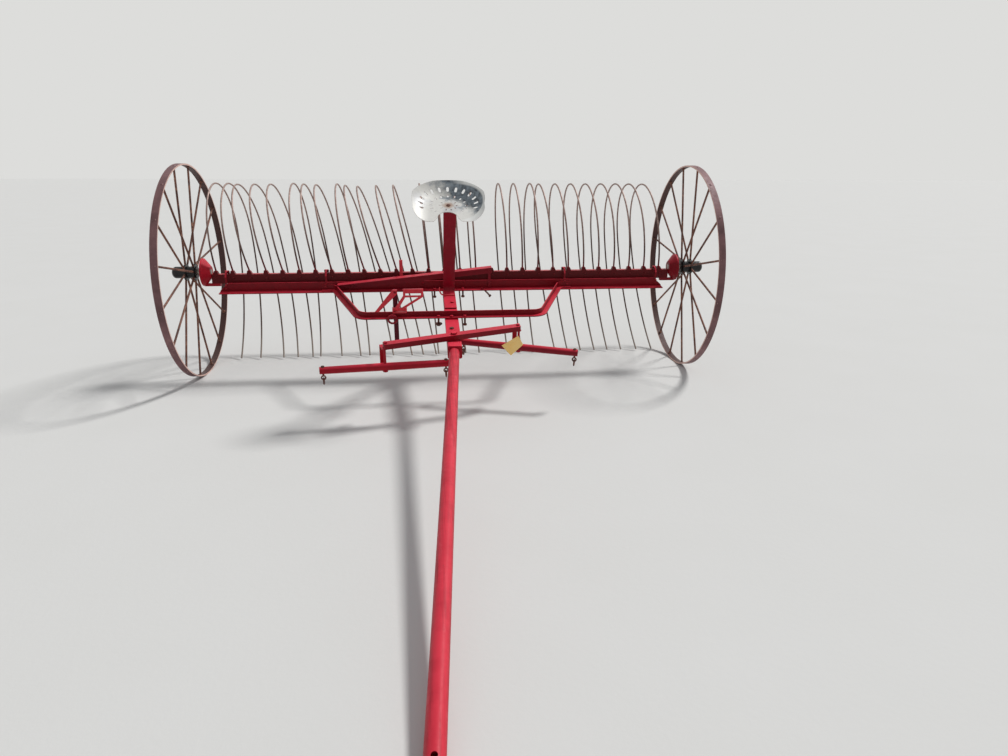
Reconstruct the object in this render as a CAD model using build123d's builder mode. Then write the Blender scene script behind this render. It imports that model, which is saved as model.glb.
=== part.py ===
# Horse-drawn dump rake: two spoked steel wheels, a tilting rake head with curved spring tines,
# an angle-iron frame with a pole, a sprung pan seat, and an evener with two singletrees.
# Millimetres. X runs along the axle, the pole points to -Y, Z is up and the ground is at Z = 0.
from build123d import *
from math import asin, atan2, cos, degrees, hypot, radians, sin
import os

os.makedirs("parts", exist_ok=True)

# Wheels
wheel_radius = 686
half_track = 1661
rim_width = 42
rim_thickness = 9
spoke_count = 16
spoke_diameter = 13
spoke_seat = 0.3
hub_barrel_radius = 38
hub_flange_radius = 54
hub_flange_thickness = 12
hub_inner_reach = 22
hub_outer_reach = 112
inner_spoke_plane = -8
outer_spoke_plane = 48
cap_length = 26
cap_clearance = 2

# Stub axles and end castings
axle_radius = 19
axle_running_clearance = 0.06
axle_seat = 0.05
casting_radius = 90
casting_face = 10
casting_depth = 52
casting_neck_radius = 40
casting_offset = 58
casting_arm = 100
casting_arm_width = 30
casting_arm_drop = 92

# Rake head: an angle along the axle line
head_drop = 15
head_face = 60
head_depth = 48
head_wall = 6
head_front = 12
head_end_gap = 1.0

# Tines
tine_end_space = 156
tine_count = 29
missing_tine = 17
tine_shift = -18
tine_diameter = 11
tine_leans = (
    2, 4.5, 9.5, 9, 9, 4.5, 8.5, 11, 7.5, 13, 15.5, 13.5, 12.5, 5, 4,
    4, 3.5, 4, 3.5, 3.5, 2.5, 7, 6, 5.5, 5.5, 5, 5, 6, 7,
)
tine_base_back = 14
tine_socket_gap = 0.3
tine_rise_angle = 116
tine_front_radius = 460
tine_front_turn = 26
tine_straight = 18
tine_top_radius = 325
tine_back_radius = 400
tine_lower_radius = 1100
tine_tip_clearance = 15

# Tine holders
holder_width = 34
holder_depth = 34
holder_top_width = 20
holder_top_depth = 24
holder_height = 22
holder_wall = 9

# Hinges between the rake head and the frame, each a little to the left of a tine
hinge_tine_count = (1, 7, 22, 28)
hinge_shift = 36
hinge_width = 10
hinge_eye_radius = 10
hinge_pin_radius = 5
hinge_pin_clearance = 0.06
hinge_ear_gap = 1.5
hinge_ear_width = 6
hinge_ear_radius = 10
hinge_web = 10

# Frame: lower angle beam, front brace, pole butt and pole, all in one sloping plane
centre_x = 6
beam_end_space = 168
beam_face = 60
beam_depth = 55
beam_wall = 6
beam_back = 60
beam_drop = 58
beam_taper = 55
brace_foot = 750
brace_foot_run = 90
brace_bend = 60
brace_elbow = 545
brace_reach = 622
brace_face = 38
brace_depth = 35
brace_wall = 6
brace_gap = 1.0
butt_width = 80
butt_height = 50
butt_wall = 6
butt_rear = 40
butt_reach = 1050
spacer_width = 60
collar_length = 60
collar_wall = 9
collar_plug = 50
pole_diameter = 57
pole_wall = 4
pole_seat = 0.3
pole_inset = 6
pole_skew = 3.44
pole_reach = 3610
pole_pin_radius = 9

# Seat spring and seat
spring_width = 75
spring_thickness = 9
spring_foot_front = 470
spring_foot_rear = 221
spring_bend = 45
spring_turn = 123
spring_run = 696
spring_top_bend = 70
spring_top_length = 80
seat_side = -12
seat_tilt = 20
seat_width = 407
seat_length = 330
seat_sheet = 3
seat_flat_radius = 105
seat_bowl_radius = 130
seat_bowl_turn = 62
seat_shift = 50
seat_front_width = 396
seat_front_reach = 160
seat_front_corner = 85
seat_notch_side = -8
seat_notch_reach = 120
seat_notch_radius = 55
seat_notch_flare = 26
seat_boss_radius = 26
seat_boss_height = 12

# Rings of slots in the seat, each: half its breadth and depth, slot width and length, count, degrees apart
seat_rings = (
    (155, 131, 15, 26, 13, 17.5),
    (99, 90, 11, 17, 13, 22.3),
    (46, 46, 7, 13, 10, 36),
)

# Diagonal stay
stay_left = -725
stay_right = 300
stay_low = -116
stay_rise = 109
stay_face = 50
stay_depth = 50
stay_wall = 5
stay_strap_width = 16
stay_strap_thickness = 8

# Foot pedal, its bracket on the brace, the trip rod with its strut, and the trip lug on the head
pedal_left = -272
pedal_right = -168
pedal_rod = 14
pedal_forward = 90
pedal_back = 78
pedal_low = 50
pedal_high = 86
pedal_arm_radius = 11
pedal_plate = 5
pedal_plate_share = 0.55
bracket_left = -348
bracket_right = -262
bracket_wall = 8
bracket_height = 30
bracket_depth = 32
bracket_gap = 2
bracket_plate_left = -312
bracket_pivot_height = 20
pivot_radius = 6
pivot_tube_radius = 10
trip_x = -330
trip_width = 28
trip_thickness = 8
trip_top = 62
trip_bottom = -285
strut_foot = -442
strut_width = 24
strut_thickness = 6
strut_drop = 24
lug_tine = 11
lug_shift = 29.5
lug_width = 22
lug_plate = 6
lug_plate_drop = 40
lug_depth = 26
lug_height = 84
lug_top_depth = 16

# Bolts that hang on both sides of the butt, under the beam and under the brace
clamp_bolt_radius = 6
clamp_beam_gap = 50
clamp_brace_gap = 34
clamp_nut_radius = 12
clamp_nut = 10
clamp_disc_radius = 22
clamp_disc = 5
clamp_reach = 50

# Evener and singletrees
evener_reach = 985
evener_half = 405
evener_width = 50
evener_height = 30
evener_angle = 17
evener_pin_radius = 10
evener_gap = 0.3
evener_washer = 5
hitch_inset = 5
hitch_clearance = 28
strap_width = 28
strap_back = 55
strap_thickness = 6
single_diameter = 44
single_half = 352
single_end_radius = 20
single_pin_radius = 7
single_gap = 0.3
left_single_angle = -12
right_single_angle = -35

# The row of tines and the frame beam end inboard of the wheels
tine_pitch = 2 * (half_track - tine_end_space) / (tine_count - 1)
beam_half = half_track - beam_end_space

# The pole's lowest edge rests on the ground, which sets the slope of the frame
butt_top = -(beam_drop + beam_face)
pole_level = butt_top - butt_height / 2
tip_drop = pole_diameter / 2 - pole_level
slope = asin(wheel_radius / hypot(pole_reach, tip_drop)) - atan2(tip_drop, pole_reach)
tip_forward = pole_reach * cos(slope) + (pole_level + pole_diameter / 2) * sin(slope)
axle_y = (tip_forward - wheel_radius) / 2

axle = Vector(0, axle_y, wheel_radius)
head = Plane(origin=axle)
frame = Plane(origin=axle, x_dir=(1, 0, 0), z_dir=(0, -sin(slope), cos(slope)))


def at(base, x, y, z):
    """A point given in a base plane's own coordinates."""
    return base.from_local_coords((x, y, z))


def across(base, x):
    """The plane square to X at x: its own x runs back and its own y runs up."""
    return Plane(origin=at(base, x, 0, 0), x_dir=base.y_dir, z_dir=base.x_dir)


def level(base, z):
    """The plane parallel to a base plane, z above it."""
    return Plane(origin=at(base, 0, 0, z), x_dir=base.x_dir, z_dir=base.z_dir)


def outward(side):
    """The plane through a wheel's axis: its own x runs outboard and its own y runs up."""
    hub = at(head, side * half_track, 0, 0)
    return Plane(origin=hub, x_dir=(side, 0, 0), z_dir=(0, -side, 0))


def turned(plane, points):
    """A solid of revolution about the plane's own x axis, from an outline of (x, radius)."""
    with BuildPart() as solid:
        with BuildSketch(plane):
            with BuildLine():
                Polyline(*points, close=True)
            make_face()
        revolve(axis=Axis(plane.origin, plane.x_dir))
    return solid.part


def save(part, name):
    part.label = name
    export_step(part, f"parts/{name}.step")


head_bottom = head_drop + head_face

# Wheels
inner_face = -hub_inner_reach
outer_face = hub_outer_reach
bore = axle_radius + axle_running_clearance
rim_inside = wheel_radius - rim_thickness


def hub_outline():
    """The hub's barrel with a spoke flange at each spoke plane."""
    points = [(inner_face, bore), (inner_face, hub_barrel_radius)]
    for plane_x in (inner_spoke_plane, outer_spoke_plane):
        points += [
            (plane_x - hub_flange_thickness / 2, hub_barrel_radius),
            (plane_x - hub_flange_thickness / 2, hub_flange_radius),
            (plane_x + hub_flange_thickness / 2, hub_flange_radius),
            (plane_x + hub_flange_thickness / 2, hub_barrel_radius),
        ]
    return points + [(outer_face, hub_barrel_radius), (outer_face, bore)]


def spokes(side):
    """Round spokes that alternate between the two flanges and end inside the rim."""
    base = outward(side)
    with BuildPart() as fan:
        for index in range(spoke_count):
            angle = radians(360 / spoke_count * (index + 0.5))
            foot_x = inner_spoke_plane if index % 2 else outer_spoke_plane
            direction = Vector(0, cos(angle), sin(angle))
            foot = at(base, foot_x, 0, 0) + direction * (hub_flange_radius - spoke_diameter)
            end = at(base, 0, 0, 0) + direction * (wheel_radius + spoke_diameter)
            with BuildSketch(Plane(origin=foot, z_dir=end - foot)):
                Circle(spoke_diameter / 2)
            extrude(amount=(end - foot).length)
        with BuildSketch(Plane(origin=at(base, 0, 0, 0), z_dir=base.x_dir).offset(-half_track / 8)):
            Circle(rim_inside - spoke_seat)
        extrude(amount=half_track / 4, mode=Mode.INTERSECT)
        with BuildSketch(Plane(origin=at(base, 0, 0, 0), z_dir=base.x_dir).offset(-half_track / 8)):
            Circle(hub_flange_radius + spoke_seat)
        extrude(amount=half_track / 4, mode=Mode.SUBTRACT)
    return fan.part


for side, word in ((-1, "left"), (1, "right")):
    base = outward(side)
    save(
        turned(
            base,
            [
                (-rim_width / 2, rim_inside),
                (-rim_width / 2, wheel_radius),
                (rim_width / 2, wheel_radius),
                (rim_width / 2, rim_inside),
            ],
        ),
        f"rim_{word}",
    )
    save(turned(base, hub_outline()), f"hub_{word}")
    save(spokes(side), f"spokes_{word}")
    with BuildPart() as cap:
        with BuildSketch(base):
            with BuildLine():
                Line((outer_face, 0), (outer_face, hub_barrel_radius))
                dome = EllipticalCenterArc(
                    (outer_face, 0), cap_length, hub_barrel_radius, start_angle=0, arc_size=90
                )
                Line(dome @ 0, (outer_face, 0))
            make_face()
        revolve(axis=Axis(base.origin, base.x_dir))
    save(cap.part, f"hub_cap_{word}")

    casting_end = -casting_offset - casting_depth
    with BuildPart() as casting:
        add(
            turned(
                base,
                [
                    (-casting_offset, axle_radius + axle_seat),
                    (-casting_offset, casting_radius),
                    (-casting_offset - casting_face, casting_radius),
                    (casting_end, casting_neck_radius),
                    (casting_end, axle_radius + axle_seat),
                ],
            )
        )
        with BuildSketch(across(head, side * (half_track - casting_offset - casting_face / 2))):
            with Locations((-head_front + casting_arm_width / 2, -(head_bottom + casting_arm_drop) / 2)):
                Rectangle(casting_arm_width, casting_arm_drop - head_bottom)
        extrude(amount=-side * casting_arm)
    save(casting.part, f"end_casting_{word}")
    save(
        turned(
            base,
            [
                (casting_end, 0),
                (casting_end, axle_radius),
                (outer_face - cap_clearance, axle_radius),
                (outer_face - cap_clearance, 0),
            ],
        ),
        f"stub_axle_{word}",
    )

# Rake head
head_half = half_track - casting_offset - casting_depth - head_end_gap / 10
head_top = -head_drop
with BuildPart() as head_beam:
    with BuildSketch(across(head, -head_half)):
        with BuildLine():
            Polyline(
                (-head_front, head_top),
                (-head_front, head_top - head_face),
                (-head_front + head_wall, head_top - head_face),
                (-head_front + head_wall, head_top - head_wall),
                (-head_front + head_depth, head_top - head_wall),
                (-head_front + head_depth, head_top),
                close=True,
            )
        make_face()
    extrude(amount=2 * head_half)
save(head_beam.part, "head_beam")

# Tines and their holders
tine_places = [(index - (tine_count - 1) / 2) * tine_pitch + tine_shift for index in range(tine_count)]
rise_angle = radians(tine_rise_angle)
tine_foot = head_top + holder_wall


def tine_plane(index):
    """The leaning plane that a tine lies in, with its origin at the tine's foot."""
    lean = radians(tine_leans[index])
    return Plane(
        origin=at(head, tine_places[index], tine_base_back, tine_foot),
        x_dir=(0, 1, 0),
        z_dir=(cos(lean), 0, sin(lean)),
    )


def tine_start(index):
    """The plane square to a tine at its foot."""
    base = tine_plane(index)
    return Plane(origin=base.origin, z_dir=base.x_dir * cos(rise_angle) + base.y_dir * sin(rise_angle))


def tine(index):
    """One spring tine: up from its holder, over the top and down behind, its tip curved forward."""
    base = tine_plane(index)
    with BuildPart() as rod:
        with BuildLine(base) as path:
            root = Line((0, 0), (holder_height * cos(rise_angle), holder_height * sin(rise_angle)))
            rise = JernArc(root @ 1, root % 1, tine_front_radius, -tine_front_turn)
            climb = Line(rise @ 1, rise @ 1 + (rise % 1) * tine_straight)
            crown = JernArc(climb @ 1, climb % 1, tine_top_radius, -90)
            fall = JernArc(crown @ 1, crown % 1, tine_back_radius, -90)
            drop = ((fall @ 1).Z - tine_tip_clearance) / cos(radians(tine_leans[index]))
            JernArc(fall @ 1, fall % 1, tine_lower_radius, -degrees(asin(drop / tine_lower_radius)))
        with BuildSketch(tine_start(index)):
            Circle(tine_diameter / 2)
        sweep(path=path.line)
    return rod.part


def row(indices):
    with BuildPart() as rods:
        for index in indices:
            add(tine(index))
    return rods.part


kept = [index for index in range(tine_count) if index != missing_tine]
middle = len(kept) // 2
save(row(kept[:middle]), "tines_left")
save(row(kept[middle:]), "tines_right")

holder_front = -head_front
with BuildPart() as tine_holders:
    for x, tine_lean in zip(tine_places, tine_leans):
        with BuildSketch(level(head, head_top)):
            with Locations((x, holder_front + holder_depth / 2)):
                Rectangle(holder_width, holder_depth)
        with BuildSketch(level(head, head_top + holder_height)):
            with Locations((x - holder_height * sin(radians(tine_lean)), holder_front + holder_top_depth * 0.7)):
                Rectangle(holder_top_width, holder_top_depth)
        loft(ruled=True)
    for index in range(tine_count):
        with BuildSketch(tine_start(index).offset(-tine_socket_gap)):
            Circle(tine_diameter / 2 + tine_socket_gap)
        extrude(amount=2 * holder_height, mode=Mode.SUBTRACT)
save(tine_holders.part, "tine_holders")

# Hinges
hinge_places = [tine_places[index] - hinge_shift for index in hinge_tine_count]
ear_inner = hinge_width / 2 + hinge_ear_gap
ear_outer = ear_inner + hinge_ear_width
with BuildPart() as hinge_ears:
    for x in hinge_places:
        for start in (x - ear_outer, x + ear_inner):
            with BuildSketch(across(head, start)):
                with BuildLine():
                    Polyline(
                        (-hinge_ear_radius, 0),
                        (holder_front, head_top),
                        (holder_front + holder_depth, head_top),
                        (hinge_ear_radius, 0),
                        close=True,
                    )
                make_face()
                Circle(hinge_ear_radius)
                Circle(hinge_pin_radius + axle_seat, mode=Mode.SUBTRACT)
            extrude(amount=hinge_ear_width)
save(hinge_ears.part, "hinge_ears")

with BuildPart() as hinge_pins:
    for x in hinge_places:
        with BuildSketch(across(head, x - ear_outer)):
            Circle(hinge_pin_radius)
        extrude(amount=2 * ear_outer)
save(hinge_pins.part, "hinge_pins")

beam_top = -beam_drop
beam_front = -beam_back - beam_wall
with BuildPart() as hinge_arms:
    for x in hinge_places:
        with BuildSketch(across(frame, x - hinge_width / 2)):
            with BuildLine():
                Polyline(
                    (0, hinge_eye_radius),
                    (-beam_back * 0.6, hinge_eye_radius / 2),
                    (-beam_back, beam_top / 3),
                    (-beam_back, butt_top + beam_wall + brace_gap),
                    (-beam_back + hinge_web, butt_top + beam_wall + brace_gap),
                    (-beam_back + hinge_web, beam_top / 2),
                    (-beam_back / 2, -hinge_eye_radius * 0.6),
                    (0, -hinge_eye_radius),
                    close=True,
                )
            make_face()
            Circle(hinge_eye_radius)
            Circle(hinge_pin_radius + hinge_pin_clearance, mode=Mode.SUBTRACT)
        extrude(amount=hinge_width)
save(hinge_arms.part, "hinge_arms")

# Frame beam, with its ends cut back at the top
front_view = Plane(origin=frame.origin, x_dir=frame.x_dir, z_dir=-frame.y_dir)
with BuildPart() as frame_beam:
    with BuildSketch(across(frame, -beam_half)):
        with BuildLine():
            Polyline(
                (-beam_back, beam_top),
                (beam_front, beam_top),
                (beam_front, butt_top + beam_wall),
                (-beam_back - beam_depth, butt_top + beam_wall),
                (-beam_back - beam_depth, butt_top),
                (-beam_back, butt_top),
                close=True,
            )
        make_face()
    extrude(amount=2 * beam_half)
    with BuildSketch(front_view):
        with BuildLine():
            Polyline(
                (-beam_half, butt_top),
                (-beam_half, butt_top + beam_wall * 2),
                (-beam_half + beam_taper, beam_top),
                (beam_half - beam_taper, beam_top),
                (beam_half, butt_top + beam_wall * 2),
                (beam_half, butt_top),
                close=True,
            )
        make_face()
    extrude(amount=2 * (beam_back + beam_depth), mode=Mode.INTERSECT)
save(frame_beam.part, "frame_beam")

# Front brace: an angle bent to a trapezoid, its feet along the beam and its front across the butt
brace_bottom = butt_top + beam_wall
brace_line = [
    (centre_x - brace_foot - brace_foot_run, beam_front),
    (centre_x - brace_foot, beam_front),
    (centre_x - brace_elbow, -brace_reach),
    (centre_x + brace_elbow, -brace_reach),
    (centre_x + brace_foot, beam_front),
    (centre_x + brace_foot + brace_foot_run, beam_front),
]
with BuildPart() as front_brace:
    for width, height in ((brace_depth, brace_wall), (brace_wall, brace_face)):
        with BuildSketch(level(frame, brace_bottom)):
            with BuildLine():
                FilletPolyline(*brace_line, radius=brace_bend)
                offset(amount=width, side=Side.RIGHT, kind=Kind.INTERSECTION)
            make_face()
        extrude(amount=height)
save(front_brace.part, "front_brace")

# Pole butt: a box section under the beam and the brace, with a spacer that makes up the flange
with BuildPart() as pole_butt:
    with BuildSketch(front_view.offset(butt_rear)):
        with Locations((centre_x, pole_level)):
            Rectangle(butt_width, butt_height)
            Rectangle(butt_width - 2 * butt_wall, butt_height - 2 * butt_wall, mode=Mode.SUBTRACT)
    extrude(amount=butt_reach - butt_rear)
save(pole_butt.part, "pole_butt")

with BuildPart() as brace_spacer:
    with BuildSketch(level(frame, butt_top)):
        with Locations((centre_x, -brace_reach - brace_depth / 2)):
            Rectangle(spacer_width, brace_depth)
    extrude(amount=beam_wall)
save(brace_spacer.part, "brace_spacer")

# Pole: a round pipe that leaves its collar a little to the left
skew = radians(pole_skew)
pole_foot = at(frame, centre_x, -butt_reach - pole_inset, pole_level)
pole_along = -frame.x_dir * sin(skew) - frame.y_dir * cos(skew)
pole_base = Plane(origin=pole_foot, x_dir=frame.z_dir, z_dir=pole_along)
pole_length = (pole_reach - butt_reach - pole_inset) / cos(skew)
with BuildPart() as pole_collar:
    with BuildSketch(front_view.offset(butt_reach - collar_plug)):
        with Locations((centre_x, pole_level)):
            Rectangle(butt_width - 2 * butt_wall, butt_height - 2 * butt_wall)
    extrude(amount=collar_plug)
    with BuildSketch(front_view.offset(butt_reach)):
        with Locations((centre_x, pole_level)):
            RectangleRounded(butt_width, pole_diameter + 2 * collar_wall, collar_wall)
    extrude(amount=collar_length)
    with BuildSketch(pole_base.offset(-pole_seat)):
        Circle(pole_diameter / 2 + pole_seat)
    extrude(amount=2 * collar_length, mode=Mode.SUBTRACT)
save(pole_collar.part, "pole_collar")

with BuildPart() as pole:
    with BuildSketch(pole_base):
        Circle(pole_diameter / 2)
        Circle(pole_diameter / 2 - pole_wall, mode=Mode.SUBTRACT)
    extrude(amount=pole_length)
    with BuildSketch(Plane(origin=pole_foot + pole_along * (pole_length - pole_diameter),
                           x_dir=frame.x_dir, z_dir=frame.z_dir)):
        Circle(pole_pin_radius)
    extrude(amount=pole_diameter, both=True, mode=Mode.SUBTRACT)
save(pole.part, "pole")

# Seat spring: one flat bar that lies on the butt, curls up and leans forward to the seat
with BuildPart() as seat_spring:
    with BuildLine(across(frame, centre_x)) as spring_path:
        foot = Line((-spring_foot_front, butt_top + spring_thickness / 2),
                    (-spring_foot_rear, butt_top + spring_thickness / 2))
        curl = JernArc(foot @ 1, foot % 1, spring_bend, spring_turn)
        run = Line(curl @ 1, curl @ 1 + (curl % 1) * spring_run)
        knee = JernArc(run @ 1, run % 1, spring_top_bend, 180 + seat_tilt - spring_turn)
        top = Line(knee @ 1, knee @ 1 + (knee % 1) * spring_top_length)
    seat_point = top @ 0.5
    seat_forward = top % 1
    with BuildSketch(Plane(origin=foot @ 0, x_dir=(1, 0, 0), z_dir=foot % 0)):
        Rectangle(spring_width, spring_thickness)
    sweep(path=spring_path.line)
save(seat_spring.part, "seat_spring")

# Seat: a pan pressed from sheet, its back raised, with a notch at the front
seat_up = seat_forward.cross(Vector(1, 0, 0))
if seat_up.Z < 0:
    seat_up = -seat_up
seat_place = seat_point + Vector(seat_side, 0, 0) + seat_up * (spring_thickness / 2)
seat_plane = Plane(origin=seat_place, x_dir=(1, 0, 0), z_dir=seat_up)
with BuildPart() as seat_boss:
    with BuildSketch(seat_plane):
        Circle(seat_boss_radius)
    extrude(amount=seat_boss_height)
save(seat_boss.part, "seat_boss")

pan_plane = seat_plane.offset(seat_boss_height)
bowl_centre = Plane(origin=at(pan_plane, 0, -seat_shift, 0), x_dir=(1, 0, 0), z_dir=-pan_plane.y_dir)
with BuildPart() as seat_pan:
    with BuildSketch(bowl_centre) as section:
        with BuildLine():
            flat = Line((0, 0), (seat_flat_radius, 0))
            bowl = JernArc(flat @ 1, flat % 1, seat_bowl_radius, seat_bowl_turn)
            lip = Line(bowl @ 1, bowl @ 1 + Vector(-sin(radians(seat_bowl_turn)),
                                                   cos(radians(seat_bowl_turn))) * seat_sheet)
            inner = JernArc(lip @ 1, -(bowl % 1), seat_bowl_radius - seat_sheet, -seat_bowl_turn)
            Polyline(inner @ 1, (0, seat_sheet), (0, 0))
        make_face()
    revolve(axis=Axis(bowl_centre.origin, pan_plane.z_dir), revolution_arc=180)
    for half in (section.sketch, mirror(section.sketch, about=Plane(seat_place, z_dir=(1, 0, 0)), mode=Mode.PRIVATE)):
        extrude(half, amount=seat_length, dir=-pan_plane.y_dir)
    with BuildSketch(pan_plane):
        Ellipse(seat_width / 2, seat_length / 2)
        with Locations((0, seat_front_corner / 2 - seat_front_reach / 2)):
            RectangleRounded(seat_front_width, seat_front_reach + seat_front_corner, seat_front_corner)
        with Locations((seat_notch_side, -seat_notch_reach)):
            Circle(seat_notch_radius, mode=Mode.SUBTRACT)
        with BuildLine():
            Polyline(
                (seat_notch_side - seat_notch_radius, -seat_notch_reach),
                (seat_notch_side + seat_notch_radius, -seat_notch_reach),
                (seat_notch_side + seat_notch_radius + seat_notch_flare, -seat_length / 2 - seat_sheet),
                (seat_notch_side - seat_notch_radius - seat_notch_flare, -seat_length / 2 - seat_sheet),
                close=True,
            )
        make_face(mode=Mode.SUBTRACT)
    extrude(amount=seat_bowl_radius, mode=Mode.INTERSECT)
    with BuildSketch(pan_plane):
        for half_breadth, half_depth, slot_width, slot_length, slot_count, step in seat_rings:
            for index in range(slot_count):
                turn = radians((index - (slot_count - 1) / 2) * step)
                with Locations((half_breadth * sin(turn), half_depth * cos(turn))):
                    SlotOverall(slot_length, slot_width, rotation=90 - degrees(turn))
    extrude(amount=seat_bowl_radius, mode=Mode.SUBTRACT)
save(seat_pan.part, "seat_pan")

# Diagonal stay: a channel from the left foot of the brace, rising to the right ahead of the beams
stay_start = at(frame, stay_left, beam_front, stay_low)
stay_end = at(frame, stay_right, beam_front, stay_low + stay_rise)
with BuildPart() as diagonal_stay:
    with BuildSketch(Plane(origin=stay_start, x_dir=frame.y_dir, z_dir=stay_end - stay_start)):
        with BuildLine():
            Polyline(
                (0, 0),
                (0, stay_face),
                (-stay_depth, stay_face),
                (-stay_depth, stay_face - stay_wall),
                (-stay_wall, stay_face - stay_wall),
                (-stay_wall, 0),
                close=True,
            )
        make_face()
    extrude(amount=(stay_end - stay_start).length)
    with BuildSketch(level(frame, brace_bottom + brace_wall)):
        with Locations(((stay_left + stay_right) / 2, beam_front)):
            Rectangle(2 * (stay_right - stay_left), 4 * stay_depth)
    extrude(amount=stay_rise + stay_face, mode=Mode.INTERSECT)
    with BuildSketch(level(frame, brace_bottom + brace_wall)):
        with Locations((stay_right - stay_strap_width, beam_front - stay_strap_thickness / 2)):
            Rectangle(stay_strap_width, stay_strap_thickness)
    extrude(amount=stay_low + stay_rise + stay_face / 2 - brace_bottom - brace_wall)
save(diagonal_stay.part, "diagonal_stay")

# Foot pedal: a rod loop on two arms, turning on a pivot in a bracket on the brace's upright
flange_top = brace_bottom + brace_wall
brace_top = brace_bottom + brace_face
pivot_forward = -brace_reach - bracket_depth / 2
pivot_level = brace_top + bracket_pivot_height
with BuildPart() as pedal_bracket:
    with BuildSketch(across(frame, bracket_left)):
        with Locations((pivot_forward, brace_top + bracket_wall / 4)):
            Rectangle(bracket_depth, bracket_wall / 2)
    extrude(amount=bracket_right - bracket_left)
    with BuildSketch(across(frame, bracket_plate_left)):
        with Locations((-brace_reach, brace_top + bracket_wall / 4)):
            Rectangle(bracket_wall, bracket_wall / 2)
        with Locations((-brace_reach + bracket_wall / 4, (flange_top + brace_top + bracket_wall / 2) / 2)):
            Rectangle(bracket_wall / 2, brace_top + bracket_wall / 2 - flange_top)
    extrude(amount=bracket_right - bracket_plate_left)
    for start in (bracket_left, bracket_right - bracket_wall):
        with BuildSketch(across(frame, start)):
            with Locations((pivot_forward, brace_top + bracket_height / 2)):
                Rectangle(bracket_depth, bracket_height)
            with Locations((pivot_forward, pivot_level)):
                Circle(pivot_radius + hinge_pin_clearance, mode=Mode.SUBTRACT)
        extrude(amount=bracket_wall)
save(pedal_bracket.part, "pedal_bracket")

pedal_front = -brace_reach - pedal_forward
pedal_rear = -brace_reach - pedal_back
pedal_outer = bracket_left + 2 * bracket_wall + pedal_rod / 2
pedal_inner = bracket_right - 4 * bracket_wall
pedal_corners = (
    (pedal_outer, pivot_forward, pivot_level),
    (pedal_left, pedal_front, pedal_low),
    (pedal_left, pedal_rear, pedal_high),
    (pedal_right, pedal_rear, pedal_high),
    (pedal_right, pedal_front, pedal_low),
    (pedal_inner, pivot_forward, pivot_level),
)
pedal_points = [at(frame, *corner) for corner in pedal_corners]
with BuildPart() as pedal_loop:
    with BuildLine():
        loop = Polyline(*pedal_points)
    with BuildSketch(Plane(origin=loop @ 0, z_dir=loop % 0)):
        Circle(pedal_rod / 2)
    sweep(path=loop, transition=Transition.RIGHT)

tube_left = bracket_left + bracket_wall + bracket_gap / 2
tube_right = bracket_right - bracket_wall - bracket_gap / 2
pedal_down = pedal_points[1] - pedal_points[2]
plate_middle = (pedal_points[2] + pedal_points[3]) / 2 + pedal_down * (pedal_plate_share / 2)
with BuildPart() as foot_pedal:
    for start, end, radius in ((bracket_left, bracket_right, pivot_radius), (tube_left, tube_right, pivot_tube_radius)):
        with BuildSketch(across(frame, start)):
            with Locations((pivot_forward, pivot_level)):
                Circle(radius)
        extrude(amount=end - start)
    add(pedal_loop.part)
    with BuildSketch(Plane(origin=pedal_points[0], z_dir=pedal_points[1] - pedal_points[0])):
        Circle(pedal_arm_radius)
    with BuildSketch(Plane(origin=pedal_points[1], z_dir=pedal_points[1] - pedal_points[0])):
        Circle(pedal_rod / 2 + 1)
    loft()
    cross_bar = pedal_points[4] - pedal_points[1]
    with BuildSketch(Plane(origin=pedal_points[1], z_dir=cross_bar)):
        Circle(pivot_radius)
    extrude(amount=cross_bar.length)
    with BuildSketch(Plane(origin=plate_middle, x_dir=frame.x_dir, z_dir=frame.x_dir.cross(pedal_down))):
        Rectangle(pedal_right - pedal_left, pedal_plate_share * pedal_down.length)
    extrude(amount=pedal_plate / 2, both=True)
save(foot_pedal.part, "foot_pedal")

# Trip rod behind the brace's upright flange, with a flat strut down to the flange's edge
with BuildPart() as trip_rod:
    with BuildSketch(level(frame, trip_bottom)):
        with Locations((trip_x, -brace_reach + trip_thickness / 2)):
            Rectangle(trip_width, trip_thickness)
    extrude(amount=trip_top - trip_bottom)
save(trip_rod.part, "trip_rod")

with BuildPart() as trip_strut:
    with BuildSketch(front_view.offset(brace_reach)):
        with BuildLine():
            Polyline(
                (trip_x - trip_width / 2, trip_top),
                (trip_x + trip_width / 2, trip_top),
                (trip_x + trip_width / 2, trip_top - strut_drop),
                (strut_foot + strut_width / 2, brace_top),
                (strut_foot - strut_width / 2, brace_top),
                close=True,
            )
        make_face()
    extrude(amount=strut_thickness)
save(trip_strut.part, "trip_strut")

with BuildPart() as trip_lug:
    with BuildSketch(across(head, tine_places[lug_tine] + lug_shift - lug_width / 2)):
        with BuildLine():
            Polyline(
                (holder_front - lug_plate, head_top - lug_plate_drop),
                (holder_front, head_top - lug_plate_drop),
                (holder_front, head_top),
                (holder_front + lug_depth, head_top),
                (holder_front + lug_top_depth, head_top + lug_height),
                (holder_front - lug_plate, head_top + lug_height),
                close=True,
            )
        make_face()
        fillet(vertices().group_by(Axis.Y)[-1], lug_width / 5)
    extrude(amount=lug_width)
save(trip_lug.part, "trip_lug")

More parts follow.
